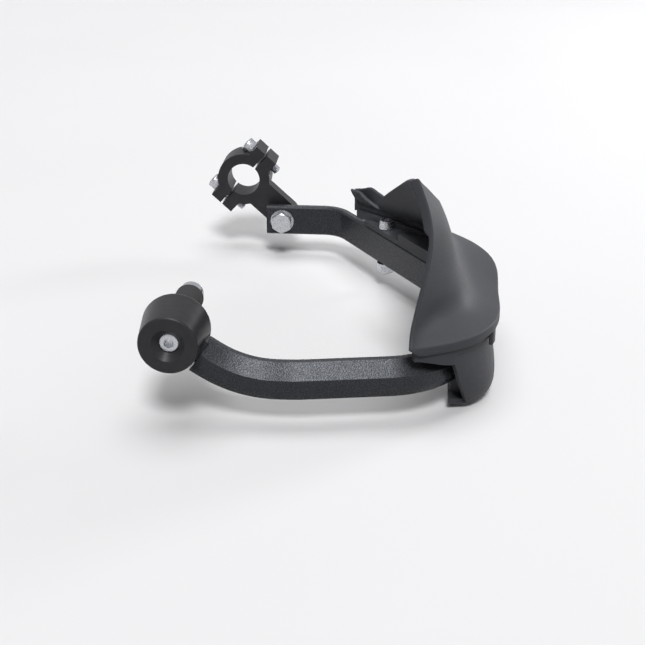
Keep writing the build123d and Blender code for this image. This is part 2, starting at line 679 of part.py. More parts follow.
# Strap fixing: screw through the tab and the strap, washer and nut below
nut_top = bow_bottom - M6_WASHER_THICKNESS
with BuildPart() as strap_screw:
    with BuildSketch(Plane.XY.offset(tab_top)) as head:
        with Locations(strap_point):
            Circle(M6_HEAD / 2)
    extrude(amount=M6_HEAD_HEIGHT)
    chamfer(edges().group_by(Axis.Z)[-1], HEAD_CHAMFER)
    with BuildSketch(Plane.XY.offset(tab_top)) as shank:
        with Locations(strap_point):
            Circle(M6 / 2)
    extrude(amount=nut_top - M6_NUT_HEIGHT - THREAD_END - tab_top)
    with BuildSketch(Plane.XY.offset(tab_top + M6_HEAD_HEIGHT)) as key:
        with Locations(strap_point):
            RegularPolygon(M6_KEY / 2, 6, major_radius=False)
    extrude(amount=-KEY_DEPTH, mode=Mode.SUBTRACT)
strap_screw.part.label = "strap_screw"
export_step(strap_screw.part, "parts/strap_screw.step")

with BuildPart() as strap_washer:
    with BuildSketch(Plane.XY.offset(bow_bottom)) as ring:
        with Locations(strap_point):
            Circle(M6_WASHER / 2)
            Circle(M6_HOLE / 2, mode=Mode.SUBTRACT)
    extrude(amount=-M6_WASHER_THICKNESS)
strap_washer.part.label = "strap_washer"
export_step(strap_washer.part, "parts/strap_washer.step")

with BuildPart() as shell_nuts:
    for point, base in ((corner_point, DECK_TOP), (strap_point, nut_top - M6_NUT_HEIGHT)):
        with BuildSketch(Plane.XY.offset(base)) as nut:
            with Locations(point):
                RegularPolygon(M6_NUT / 2, 6, major_radius=False)
                Circle(M6 / 2 + THREAD_GAP, mode=Mode.SUBTRACT)
        extrude(amount=M6_NUT_HEIGHT)
shell_nuts.part.label = "shell_nuts"
export_step(shell_nuts.part, "parts/shell_nuts.step")

with BuildPart() as spoiler_screws:
    for point in SPOILER_SCREW_POINTS:
        with BuildSketch(Plane.XY.offset(deck_bottom)) as head:
            with Locations(point):
                Circle(SPOILER_SCREW_HEAD / 2)
        extrude(amount=-SPOILER_HEAD_HEIGHT)
        with BuildSketch(Plane.XY.offset(deck_bottom)) as shank:
            with Locations(point):
                Circle(SPOILER_SCREW / 2)
        extrude(amount=SPOILER_SCREW_LENGTH)
spoiler_screws.part.label = "spoiler_screws"
export_step(spoiler_screws.part, "parts/spoiler_screws.step")
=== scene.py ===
"""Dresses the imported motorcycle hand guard: mouldings, coats, fasteners and a plain studio."""

import json
import math

import bpy
import numpy as np
from mathutils import Matrix, Vector

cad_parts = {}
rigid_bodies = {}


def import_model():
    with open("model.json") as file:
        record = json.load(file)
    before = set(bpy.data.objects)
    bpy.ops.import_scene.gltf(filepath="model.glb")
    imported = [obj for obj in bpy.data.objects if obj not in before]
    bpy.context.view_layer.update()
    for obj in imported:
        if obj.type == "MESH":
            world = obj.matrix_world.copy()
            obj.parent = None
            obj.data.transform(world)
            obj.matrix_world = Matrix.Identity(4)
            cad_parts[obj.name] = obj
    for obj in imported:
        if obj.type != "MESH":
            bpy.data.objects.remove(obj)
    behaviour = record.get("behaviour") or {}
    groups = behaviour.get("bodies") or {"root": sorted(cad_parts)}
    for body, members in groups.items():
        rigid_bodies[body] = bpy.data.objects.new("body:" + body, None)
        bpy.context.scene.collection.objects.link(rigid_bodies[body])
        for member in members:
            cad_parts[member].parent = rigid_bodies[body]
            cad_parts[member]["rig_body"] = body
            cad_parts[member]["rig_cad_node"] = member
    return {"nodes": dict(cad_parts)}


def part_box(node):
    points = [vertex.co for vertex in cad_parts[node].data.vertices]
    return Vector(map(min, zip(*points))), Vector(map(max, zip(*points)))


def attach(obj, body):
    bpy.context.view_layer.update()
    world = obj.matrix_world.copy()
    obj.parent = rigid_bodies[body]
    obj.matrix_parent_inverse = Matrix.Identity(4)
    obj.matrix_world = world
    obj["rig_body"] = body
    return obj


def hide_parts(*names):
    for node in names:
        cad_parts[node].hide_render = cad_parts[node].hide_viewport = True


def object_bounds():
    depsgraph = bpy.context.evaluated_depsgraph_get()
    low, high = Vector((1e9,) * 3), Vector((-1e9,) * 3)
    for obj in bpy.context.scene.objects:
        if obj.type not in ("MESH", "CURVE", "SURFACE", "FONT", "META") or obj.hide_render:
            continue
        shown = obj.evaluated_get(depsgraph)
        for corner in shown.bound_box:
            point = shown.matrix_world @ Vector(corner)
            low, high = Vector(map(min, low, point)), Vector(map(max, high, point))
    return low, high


bl_info = {
    "name": "Motorcycle hand guard",
    "version": (1, 0, 0),
    "blender": (4, 5, 0),
    "location": "3D View > Sidebar > Hand guard",
    "description": "Dresses the packed hand guard with its mouldings, coats and fasteners",
    "category": "Object",
}

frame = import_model()
CAD_BOX = [list(corner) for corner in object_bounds()]
NODES = frame["nodes"]
MM = 0.001

# Plan lines of the spoiler's outer skin in millimetres: height, then points from the outboard edge inwards
SPOILER_LINES = [
    (-5, [(16.5, 120.8), (-0.5, 151.4), (-23.4, 165.7), (-65, 168.9),
          (-115, 168.1), (-140, 159.2), (-176, 128), (-214.5, 84.5)]),
    (3, [(12.5, 122.4), (-8, 137), (-24, 150), (-60, 152.5),
         (-106, 149), (-135, 142), (-173, 117.5), (-213, 79)]),
    (14, [(9, 124.6), (-8, 135.5), (-26, 145), (-60, 146),
          (-107, 141), (-138, 134), (-174, 110), (-213, 74)]),
    (30, [(4, 128.2), (-8.5, 135.5), (-24, 141.8), (-58, 140.6),
          (-108, 131.5), (-140, 122), (-176, 101), (-212, 67)]),
    (50, [(-2.3, 130.4), (-11, 133.8), (-21, 136.6), (-55, 132.8),
          (-105, 120.5), (-142, 110), (-177, 91), (-211, 60)]),
    (80, [(-11.5, 121), (-16, 121.4), (-24, 121.2), (-48, 116.6),
          (-100, 103), (-140, 92), (-176, 77), (-209, 48)]),
]
# Length along the brim, which turns a distance on it into a share
BRIM_LENGTH = 290.0
BRIM_BOTTOM = -10.0
# The brim's wall runs out at its outboard end, over this rise and length
BRIM_END_RISE = 4.0
BRIM_END_LENGTH = 5.5
# Top edge of the spoiler in front view: the slope behind the horn's tip, then the notch and the fin
TOP_SLOPE = [(-10.5, 77.2), (-17, 70), (-63, 53.5), (-110, 44.5), (-141, 36), (-165, 25), (-194.7, 3.5)]
NOTCH = (-201, -4)
FIN_TOP = (-206.5, 5.5)
# Low end wall on the brim's inboard end: x and top height, then the plan points of its short return
END_WALL = [(-193, -5.5), (-197, 0), (-201, 4.6), (-205, 6.6), (-208.5, 8), (-212, 6.4), (-214.4, 5.2)]
END_WALL_RETURN = [
    (-214.7, 83.6), (-214.75, 82.6), (-214.6, 81.6), (-214.3, 80.7), (-214, 80), (-213.8, 79.4), (-213.6, 79)]
END_WALL_BOTTOM = -9.8
# The end wall stands this far behind the brim's line
END_WALL_SET_BACK = (0.1, -0.12)
# Skirt of the lower moulding from its outboard end to the chin: x, y and bottom height
SKIRT = [
    (11.8, 124.6, -14.0), (10.9, 128, -14.8), (9.8, 131.2, -15.6), (8.6, 134, -16.5),
    (7.5, 136.3, -17.3), (5.3, 140, -18.5), (3.1, 143, -19.5), (0.1, 146, -20.6)]
SKIRT_TOP = -13.0
# Clip under the brim: plan point, size, edge rounding, turn in degrees and depth of its middle under the brim
CLIP_POINT = (-23.4, 164.2)
CLIP_SIZE = (6.2, 2.4, 8.8)
CLIP_ROUND = 0.7
CLIP_TURN = 165
CLIP_DROP = 3.6
# Screw bosses under the shelf: plan points, then radius and height along the boss and its bore
BOSS_POINTS = [(-60, 156.5), (-105, 155), (-138, 144.5)]
BOSS_PROFILE = [(3.3, -9), (3.5, -8.8), (3.5, -3.5), (3, -3)]
BOSS_BORE = [(2.1, -9.5), (2.1, -4.2)]

# Distances from a free edge, in millimetres, at which a wall's rounding needs points
EDGE_STEPS = [0.0, 0.12, 0.4, 0.8, 1.2, 1.8]
END_STEPS = EDGE_STEPS + [2.6, 3.6, 4.6]
# Points of the spoiler's skin: shares of the brim's height, then counts
BRIM_WALL_SHARES = (1, 0.97, 0.9, 0.8, 0.65, 0.35)
BRIM_BEND_POINTS = 7
SKIN_ROWS = 46
SKIN_COLUMNS = 150
PATH_POINTS = 240
# Share of the brim's length at which the skin's even columns start
SKIN_INSET = 0.021
# Points of the end wall and the skirt: shares along and up them, close together at the rounded edges
END_WALL_STARTS = (0, 0.01, 0.02, 0.04)
END_WALL_COLUMNS = 34
END_WALL_ROWS = (0, 0.02, 0.06, 0.12, *np.linspace(0.2, 0.8, 8), 0.88, 0.94, 0.98, 1)
SKIRT_COLUMNS = (0, 0.006, 0.02, 0.04, *np.linspace(0.08, 1, 30))
SKIRT_ROWS = (0, 0.03, 0.1, *np.linspace(0.2, 0.8, 6), 0.88, 0.94, 0.98, 1)
# The horn's thick edge fades out over this share of its width, and sets in over this height in metres
HORN_EDGE_FADE = 1.6
HORN_EDGE_RISE = 0.003

# The clamp's screws run along this slope, from the cap into the body
CLAMP_SLOPE = Vector((0, 28, -25.7)).normalized()
CLAMP_ACROSS = CLAMP_SLOPE.cross(Vector((1, 0, 0)))
CLAMP_SCREW_LENGTH = 23.5 * MM
CLAMP_SCREW_OFFSET = 18 * MM
CLAMP_SCREW_SEAT = 9 * MM

# Fastener sizes
M6_RADIUS = 3 * MM
M6_HEAD_RADIUS = 5 * MM
M6_HEAD_HEIGHT = 6 * MM
M6_KEY = 5 * MM
M6_NUT_FLATS = 10 * MM
M6_NUT_HEIGHT = 5 * MM
CORNER_NUT_BASE = -9 * MM
M8_RADIUS = 4 * MM
M8_PITCH = 1.25 * MM
M8_FLATS = 13 * MM
M8_HEAD_HEIGHT = 5.3 * MM
M8_PLAIN_SHANK = 14 * MM
M8_RUN_OUT = 0.4 * MM
M8_OVERLAP = 1 * MM
NUT_GAP = 0.03 * MM
# A nut's bore is cut from this far below it
BORE_START = 1 * MM
# Turned chamfer of a nut or bolt head: shares of the flats that its face and its drop take, and its reach
HEX_FACE = 0.97
HEX_DROP = 0.09
HEX_REACH = 1.02
# A socket head's bevel as a share of its radius,
# and its socket's floor and shank's overlap as shares of its height
HEAD_BEVEL = 0.08
SOCKET_FLOOR = 0.45
HEAD_OVERLAP = 0.2
# Heads of the button screw and the pan-head screws in millimetres: radius and height from the seat;
# then the shank's overlap, the socket's key and the heights between which it is cut
BUTTON_HEAD = [(5.1, 0), (5.25, 0.25), (5.2, 0.9), (4.85, 1.8), (4.2, 2.7), (3.4, 3.3), (2.9, 3.5)]
BUTTON_OVERLAP = 0.6 * MM
BUTTON_KEY = 4 * MM
BUTTON_SOCKET = (1.2 * MM, 10 * MM)
PAN_HEAD = [(3.9, 0), (4, 0.2), (3.9, 1.2), (3.3, 2), (2.5, 2.4)]
PAN_OVERLAP = 0.5 * MM
PAN_KEY = 2.6 * MM
PAN_SOCKET = (1 * MM, 6 * MM)
PAN_RADIUS = 2 * MM
PAN_PITCH = 1.2 * MM
# Depth of a thread, and its crest and root along one turn, as shares of the pitch
THREAD_DEPTH = 0.55
THREAD_FORM = (("crest", 0.42), ("crest", 0.58), ("root", 0.94), ("root", 1))
KNURL_TEETH = 44
KNURL_FLOOR = 0.975

# Rounding of the copied solids: points closer than this are one, and edges sharper than this are rounded
MERGE_DISTANCE = 0.000002
FLAT_ANGLE = math.radians(0.3)
SHARP_ANGLE = math.radians(28)
ROUND_SEGMENTS = 3

# A noise texture's values lie mostly between these
NOISE_LOW = 0.3
NOISE_HIGH = 0.7

# Studio: places and sizes in metres
FLOOR_SIZE = 14
FLOOR_GAP = 0.0005
FLOOR_BOUNCE = 0.22
AIR_COLOUR = (0.96, 0.97, 1.0, 1)
AIR_LIGHT = 0.06
AIR_SEEN = 0.66
TOP_LIGHT = {"place": (0, 0, 2), "target": (0, 0, 0), "degrees": 48, "strength": 1.5}
KEY_LIGHT = {"place": (1.04, 0.25, 1.19), "target": (0, 0.09, 0), "degrees": 14.4, "strength": 2.2}
RIM_LIGHT = {"place": (-1.0, 1.3, 0.45), "target": (-0.02, 0.15, 0), "size": (0.4, 0.7), "power": 8}
CAMERA_PLACE = (0.60064, 0.12433, 0.26849)
CAMERA_RIGHT = Vector((-0.08168, 0.99666, 0))
CAMERA_UP = Vector((-0.40408, -0.03312, 0.91414))
CAMERA_LENS = 71.03
CAMERA_SENSOR = 36
CAMERA_NEAR = 0.01


# Property groups


class GuardSizes(bpy.types.PropertyGroup):
    """Sizes a user would change."""

    skin: bpy.props.FloatProperty(
        name="Spoiler wall", description="Wall thickness of the spoiler",
        default=0.0024, min=0.001, unit="LENGTH", precision=4)
    horn_edge: bpy.props.FloatProperty(
        name="Horn edge", description="Wall thickness along the horn's upper edge",
        default=0.0050, min=0.001, unit="LENGTH", precision=4)
    horn_edge_width: bpy.props.FloatProperty(
        name="Horn edge width", description="How far the thick edge reaches into the wall",
        default=0.0042, min=0.001, unit="LENGTH", precision=4)
    horn_edge_start: bpy.props.FloatProperty(
        name="Horn edge start", description="Height at which the thick edge starts",
        default=0.049, unit="LENGTH", precision=4)
    brim_round: bpy.props.FloatProperty(
        name="Brim rounding", description="Length that the brim's rounding takes of each side",
        default=0.0010, min=0.0003, unit="LENGTH", precision=4)
    skin_round: bpy.props.FloatProperty(
        name="Spoiler edges", description="Rounding of the spoiler wall's free edges",
        default=0.0008, min=0.0002, unit="LENGTH", precision=4)
    bow_round: bpy.props.FloatProperty(
        name="Bow edges", description="Rounding of the bow's edges under its coat",
        default=0.0007, min=0.0001, unit="LENGTH", precision=4)
    shell_round: bpy.props.FloatProperty(
        name="Shell edges", description="Rounding of the lower moulding's edges",
        default=0.0005, min=0.0001, unit="LENGTH", precision=4)
    metal_round: bpy.props.FloatProperty(
        name="Metal edges", description="Broken edges of the clamp's two halves",
        default=0.0004, min=0.0001, unit="LENGTH", precision=4)
    thread_pitch: bpy.props.FloatProperty(
        name="Thread pitch", description="Pitch of the M6 threads",
        default=0.001, min=0.0005, unit="LENGTH", precision=4)


class GuardColours(bpy.types.PropertyGroup):
    """Colours of the finishes."""

    plastic: bpy.props.FloatVectorProperty(
        name="Plastic", description="Moulded shells", subtype="COLOR", size=3,
        default=(0.046, 0.048, 0.0545), min=0, max=1)
    coat: bpy.props.FloatVectorProperty(
        name="Powder coat", description="Ground of the bow's coat", subtype="COLOR", size=3,
        default=(0.028, 0.029, 0.033), min=0, max=1)
    fleck: bpy.props.FloatVectorProperty(
        name="Flecks", description="Bright grains in the bow's coat", subtype="COLOR", size=3,
        default=(0.088, 0.092, 0.102), min=0, max=1)
    anodised: bpy.props.FloatVectorProperty(
        name="Anodised black", description="Bar-end weight and clamp", subtype="COLOR", size=3,
        default=(0.024, 0.024, 0.027), min=0, max=1)
    zinc: bpy.props.FloatVectorProperty(
        name="Zinc", description="Plated fasteners", subtype="COLOR", size=3,
        default=(0.54, 0.55, 0.575), min=0, max=1)
    rubber: bpy.props.FloatVectorProperty(
        name="Rubber", description="Sleeve and pad", subtype="COLOR", size=3,
        default=(0.020, 0.020, 0.021), min=0, max=1)
    floor: bpy.props.FloatVectorProperty(
        name="Floor", description="Studio floor", subtype="COLOR", size=3,
        default=(0.80, 0.80, 0.81), min=0, max=1)


# Finishes


def new_finish(name, roughness, metallic):
    """A material with its shader and Object coordinates."""
    finish = bpy.data.materials.new(name)
    finish.use_nodes = True
    nodes = finish.node_tree.nodes
    shader = nodes["Principled BSDF"]
    shader.inputs["Roughness"].default_value = roughness
    shader.inputs["Metallic"].default_value = metallic
    place = nodes.new("ShaderNodeTexCoord")
    return finish, shader, place.outputs["Object"]


def noise(finish, place, scale, detail):
    """A noise texture's value on the given coordinates."""
    texture = finish.node_tree.nodes.new("ShaderNodeTexNoise")
    texture.inputs["Scale"].default_value = scale
    texture.inputs["Detail"].default_value = detail
    finish.node_tree.links.new(place, texture.inputs["Vector"])
    return texture.outputs["Fac"]


def ramp(finish, value, stops):
    """A colour ramp over a value: stops are (position, colour)."""
    node = finish.node_tree.nodes.new("ShaderNodeValToRGB")
    elements = node.color_ramp.elements
    while len(elements) < len(stops):
        elements.new(1.0)
    for element, (position, colour) in zip(elements, stops):
        element.position = position
        element.color = (*colour, 1.0)
    finish.node_tree.links.new(value, node.inputs["Fac"])
    return node.outputs["Color"]


def vary_gloss(finish, shader, value, low, high):
    """A roughness that follows a noise value from low to high."""
    node = finish.node_tree.nodes.new("ShaderNodeMapRange")
    node.inputs["From Min"].default_value = NOISE_LOW
    node.inputs["From Max"].default_value = NOISE_HIGH
    node.inputs["To Min"].default_value = low
    node.inputs["To Max"].default_value = high
    finish.node_tree.links.new(value, node.inputs["Value"])
    finish.node_tree.links.new(node.outputs["Result"], shader.inputs["Roughness"])


def raise_grain(finish, shader, height, strength, depth, below=None):
    """A bump from a height, on top of another bump where one is given."""
    node = finish.node_tree.nodes.new("ShaderNodeBump")
    node.inputs["Strength"].default_value = strength
    node.inputs["Distance"].default_value = depth
    finish.node_tree.links.new(height, node.inputs["Height"])
    if below:
        finish.node_tree.links.new(below, node.inputs["Normal"])
    finish.node_tree.links.new(node.outputs["Normal"], shader.inputs["Normal"])
    return node.outputs["Normal"]


def shade(colour, factor):
    """A colour made lighter or darker."""
    return tuple(min(1.0, part * factor) for part in colour)


def drift(finish, shader, cloud, base, dark, bright):
    """A base colour that drifts with a noise value between a darker and a brighter shade."""
    tint = ramp(finish, cloud, [(NOISE_LOW, shade(base, dark)), (NOISE_HIGH, shade(base, bright))])
    finish.node_tree.links.new(tint, shader.inputs["Base Color"])


def grained_plastic(colours):
    """Matt moulded plastic with a fine spark-eroded grain."""
    finish, shader, place = new_finish("grained_plastic", roughness=0.5, metallic=0.0)
    shader.inputs["Specular IOR Level"].default_value = 0.28
    cloud = noise(finish, place, scale=45, detail=3)
    grain = noise(finish, place, scale=1500, detail=2)
    drift(finish, shader, cloud, colours.plastic, dark=0.92, bright=1.08)
    vary_gloss(finish, shader, grain, low=0.46, high=0.60)
    raise_grain(finish, shader, grain, strength=0.22, depth=0.00025)
    return finish


def powder_coat(colours):
    """Charcoal powder coat: a sandy skin that glints where it faces the light."""
    finish, shader, place = new_finish("powder_coat", roughness=0.4, metallic=0.0)
    shader.inputs["Specular IOR Level"].default_value = 0.24
    shader.inputs["Specular Tint"].default_value = (0.88, 0.92, 1.0, 1.0)
    sand = noise(finish, place, scale=1500, detail=2)
    flecks = noise(finish, place, scale=2100, detail=1)
    tint = ramp(finish, flecks, [
        (0.25, shade(colours.coat, 0.8)), (0.55, colours.coat), (0.75, colours.fleck)])
    finish.node_tree.links.new(tint, shader.inputs["Base Color"])
    vary_gloss(finish, shader, sand, low=0.20, high=0.32)
    raise_grain(finish, shader, sand, strength=0.36, depth=0.0004)
    return finish


def turned_black(colours):
    """Satin black anodised metal with faint turning marks round the weight's axis."""
    finish, shader, place = new_finish("turned_black", roughness=0.36, metallic=0.0)
    shader.inputs["Specular IOR Level"].default_value = 0.26
    rings = finish.node_tree.nodes.new("ShaderNodeTexWave")
    rings.wave_type = "RINGS"
    rings.rings_direction = "X"
    rings.inputs["Scale"].default_value = 620
    rings.inputs["Distortion"].default_value = 1.2
    finish.node_tree.links.new(place, rings.inputs["Vector"])
    cloud = noise(finish, place, scale=160, detail=3)
    drift(finish, shader, cloud, colours.anodised, dark=0.85, bright=1.15)
    vary_gloss(finish, shader, noise(finish, place, scale=2200, detail=1), low=0.30, high=0.42)
    marks = raise_grain(finish, shader, rings.outputs["Fac"], strength=0.06, depth=0.00012)
    etching = noise(finish, place, scale=2600, detail=1)
    raise_grain(finish, shader, etching, strength=0.08, depth=0.0001, below=marks)
    return finish


def milled_black(colours):
    """Black anodised cast metal with a bead-blasted skin."""
    finish, shader, place = new_finish("milled_black", roughness=0.42, metallic=0.5)
    cloud = noise(finish, place, scale=120, detail=3)
    blast = noise(finish, place, scale=1700, detail=2)
    drift(finish, shader, cloud, colours.anodised, dark=0.85, bright=1.2)
    vary_gloss(finish, shader, blast, low=0.36, high=0.52)
    raise_grain(finish, shader, blast, strength=0.2, depth=0.0002)
    return finish


def zinc_plate(colours):
    """Bright zinc plate with dull patches and a fine uneven skin."""
    finish, shader, place = new_finish("zinc_plate", roughness=0.26, metallic=1.0)
    cloud = noise(finish, place, scale=500, detail=3)
    drift(finish, shader, cloud, colours.zinc, dark=0.82, bright=1.06)
    vary_gloss(finish, shader, noise(finish, place, scale=900, detail=2), low=0.20, high=0.36)
    raise_grain(finish, shader, noise(finish, place, scale=1400, detail=2), strength=0.06, depth=0.0001)
    return finish


def soft_rubber(colours):
    """Matt black rubber with a pale bloom."""
    finish, shader, place = new_finish("soft_rubber", roughness=0.8, metallic=0.0)
    bloom = noise(finish, place, scale=220, detail=3)
    drift(finish, shader, bloom, colours.rubber, dark=0.8, bright=1.5)
    vary_gloss(finish, shader, bloom, low=0.72, high=0.88)
    raise_grain(finish, shader, noise(finish, place, scale=1300, detail=2), strength=0.25, depth=0.0002)
    return finish


FINISHES = {
    "grained_plastic": grained_plastic,
    "powder_coat": powder_coat,
    "turned_black": turned_black,
    "milled_black": milled_black,
    "zinc_plate": zinc_plate,
    "soft_rubber": soft_rubber,
}


def finish_of(name):
    """A finish by name, made the first time it is asked for."""
    return bpy.data.materials.get(name) or FINISHES[name](bpy.context.scene.guard_colours)


def coat(piece, finish):
    """Gives a piece or a CAD node one finish all over."""
    piece.data.materials.clear()
    piece.data.materials.append(finish_of(finish))


# Modelling


def alone(piece):
    """Selects one piece and makes it active."""
    bpy.ops.object.select_all(action="DESELECT")
    piece.select_set(True)
    bpy.context.view_layer.objects.active = piece


def apply_modifier(piece, kind, **settings):
    """Adds a modifier with its settings and applies it."""
    modifier = piece.modifiers.new("step", kind)
    for name, value in settings.items():
        setattr(modifier, name, value)
    alone(piece)
    bpy.ops.object.modifier_apply(modifier=modifier.name)


def hand_over(piece, name, finish, slot, *nodes):
    """Names a finished piece, coats it and puts it in the place of CAD nodes."""
    piece.name = name
    piece.data.name = name
    coat(piece, finish)
    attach(piece, "root")
    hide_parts(*nodes)


def join(first, *others):
    """Joins pieces into the first one."""
    alone(first)
    for other in others:
        other.select_set(True)
    bpy.ops.object.join()
    return first


def stand(piece, origin, direction):
    """Turns a piece's own Z to a direction, moves it and leaves its place in its mesh."""
    turn = Vector(direction).to_track_quat("Z", "Y").to_matrix().to_4x4()
    piece.matrix_world = Matrix.Translation(Vector(origin)) @ turn
    alone(piece)
    bpy.ops.object.transform_apply(location=True, rotation=True, scale=True)
    return piece


def softened_copy(node, width):
    """A copy of a CAD node, merged and with its edges rounded."""
    alone(NODES[node])
    bpy.ops.object.duplicate()
    piece = bpy.context.object
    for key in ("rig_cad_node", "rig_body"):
        if key in piece:
            del piece[key]
    piece.parent = None
    bpy.ops.mesh.customdata_custom_splitnormals_clear()
    bpy.ops.object.mode_set(mode="EDIT")
    bpy.ops.mesh.select_all(action="SELECT")
    bpy.ops.mesh.remove_doubles(threshold=MERGE_DISTANCE)
    bpy.ops.mesh.dissolve_limited(angle_limit=FLAT_ANGLE)
    bpy.ops.object.mode_set(mode="OBJECT")
    apply_modifier(
        piece, "BEVEL", width=width, segments=ROUND_SEGMENTS, limit_method="ANGLE", angle_limit=SHARP_ANGLE)
    alone(piece)
    bpy.ops.object.shade_smooth()
    apply_modifier(piece, "WEIGHTED_NORMAL", mode="FACE_AREA", weight=60)
    return piece


def metres(profile):
    """A profile in millimetres turned into metres."""
    return [(radius * MM, height * MM) for radius, height in profile]


def turned(profile, segments=48):
    """A solid turned round its own Z: a disc is extruded and resized along (radius, height) steps."""
    radius, height = profile[0]
    bpy.ops.object.select_all(action="DESELECT")
    bpy.ops.mesh.primitive_circle_add(
        vertices=segments, radius=radius, fill_type="NGON", location=(0, 0, height))
    piece = bpy.context.object
    bpy.ops.object.transform_apply(location=True)
    bpy.ops.object.mode_set(mode="EDIT")
    bpy.ops.mesh.select_mode(type="FACE")
    bpy.ops.mesh.select_all(action="SELECT")
    for next_radius, next_height in profile[1:]:
        bpy.ops.mesh.extrude_region_move(
            TRANSFORM_OT_translate={"value": (0, 0, next_height - height)})
        ratio = next_radius / radius
        bpy.ops.transform.resize(value=(ratio, ratio, 1))
        radius, height = next_radius, next_height
    bpy.ops.mesh.select_all(action="SELECT")
    bpy.ops.mesh.normals_make_consistent(inside=False)
    bpy.ops.object.mode_set(mode="OBJECT")
    return piece


def carve(piece, tool, operation="DIFFERENCE"):
    """Cuts a piece with a tool, or keeps what they share, and deletes the tool."""
    apply_modifier(piece, "BOOLEAN", object=tool, operation=operation, solver="EXACT")
    bpy.data.objects.remove(tool)
    return piece


def hexagon(flats, low, high):
    """A hexagonal bar between two heights."""
    bpy.ops.object.select_all(action="DESELECT")
    bpy.ops.mesh.primitive_cylinder_add(
        vertices=6, radius=flats / math.sqrt(3), depth=high - low, location=(0, 0, (high + low) / 2))
    bpy.ops.object.transform_apply(location=True)
    return bpy.context.object


def thread_steps(radius, pitch, top, bottom):
    """Steps of a threaded shank from its chamfered end up to the head."""
    depth = THREAD_DEPTH * pitch
    root = radius - depth
    height = bottom + 0.6 * depth
    steps = [(radius - 1.6 * depth, bottom), (root, height)]
    while height + pitch < top:
        for part, share in THREAD_FORM:
            steps.append((radius if part == "crest" else root, height + share * pitch))
        height += pitch
    return steps + [(root, top)]


def screw_shank(radius, pitch, length, overlap):
    """A threaded shank below height 0 that reaches into its head by an overlap."""
    steps = thread_steps(radius, pitch, -pitch, -length)
    return turned(steps + [(radius, -0.9 * pitch), (radius, overlap)])


def socket_screw(length, pitch):
    """An M6 socket cap screw whose seat is at height 0: threaded shank, knurled head and hexagon socket."""
    rim, top = M6_HEAD_RADIUS, M6_HEAD_HEIGHT
    bevel = HEAD_BEVEL * rim
    shank = screw_shank(M6_RADIUS, pitch, length, HEAD_OVERLAP * top)
    head = turned([
        (rim - bevel, 0), (rim, bevel), (rim, top - 1.6 * bevel),
        (rim - 0.5 * bevel, top - 0.6 * bevel), (rim - 1.8 * bevel, top),
    ], segments=2 * KNURL_TEETH)
    for corner in head.data.vertices:
        place = corner.co
        around = round(math.atan2(place.y, place.x) / math.pi * KNURL_TEETH)
        knurled = bevel * 0.9 < place.z < top - 1.5 * bevel
        if knurled and around % 2:
            place.x *= KNURL_FLOOR
            place.y *= KNURL_FLOOR
    carve(head, hexagon(M6_KEY, top * SOCKET_FLOOR, top * 2))
    return join(head, shank)


def hex_blank(flats, low, high, chamfer_both):
    """A hexagonal nut or head with turned chamfers."""
    blank = hexagon(flats, low, high)
    reach, drop = flats / math.sqrt(3) * HEX_REACH, HEX_DROP * flats
    face = flats / 2 * HEX_FACE
    start = [(face, low), (reach, low + drop)] if chamfer_both else [(reach, low)]
    return carve(blank, turned(start + [(reach, high - drop), (face, high)], segments=96), "INTERSECT")


def smooth(piece, degrees=35):
    """Smooth shading between faces that meet at less than an angle."""
    alone(piece)
    bpy.ops.object.shade_smooth_by_angle(angle=math.radians(degrees))
    return piece


# The spoiler's surface


def curve_through(knots, points):
    """A natural cubic curve through points, as a function of the knot value."""
    k, p = np.asarray(knots, float), np.asarray(points, float)
    h = np.diff(k)
    rows, right = np.eye(len(k)), np.zeros_like(p)
    for i in range(1, len(k) - 1):
        rows[i, i - 1:i + 2] = h[i - 1], 2 * (h[i - 1] + h[i]), h[i]
        right[i] = 6 * ((p[i + 1] - p[i]) / h[i] - (p[i] - p[i - 1]) / h[i - 1])
    bend = np.linalg.solve(rows, right)

    def at(t):
        i = int(min(max(np.searchsorted(k, t) - 1, 0), len(k) - 2))
        a, b = t - k[i], k[i + 1] - t
        return ((bend[i] * b**3 + bend[i + 1] * a**3) / (6 * h[i])
                + (p[i] / h[i] - bend[i] * h[i] / 6) * b + (p[i + 1] / h[i] - bend[i + 1] * h[i] / 6) * a)

    return at


def chord_knots(points):
    """Knots from 0 to 1 by the distance between points."""
    steps = np.linalg.norm(np.diff(np.asarray(points, float), axis=0), axis=1)
    return np.concatenate([[0], np.cumsum(steps)]) / steps.sum()


def top_height(x, slope):
    """Height of the spoiler's top edge over a given x, in millimetres."""
    end = TOP_SLOPE[-1]
    if x >= end[0]:
        return float(slope(-x)[0])
    for (x0, z0), (x1, z1) in ((end, NOTCH), (NOTCH, FIN_TOP)):
        if x >= x1:
            return z0 + (z1 - z0) * (x - x0) / (x1 - x0)
    return FIN_TOP[1]


def halve(low, high, test):
    """The place between low and high where a test turns true."""
    for _ in range(40):
        middle = (low + high) / 2
        low, high = (low, middle) if test(middle) else (middle, high)
    return (low + high) / 2


def edge_steps(length, count, fine):
    """Distances from 0 to length, fine at the far end."""
    fine = np.array(fine) * min(1.0, 0.5 * length / fine[-1])
    coarse = np.linspace(0, length - fine[-1], count)
    return np.concatenate([coarse, length - fine[-2::-1]])


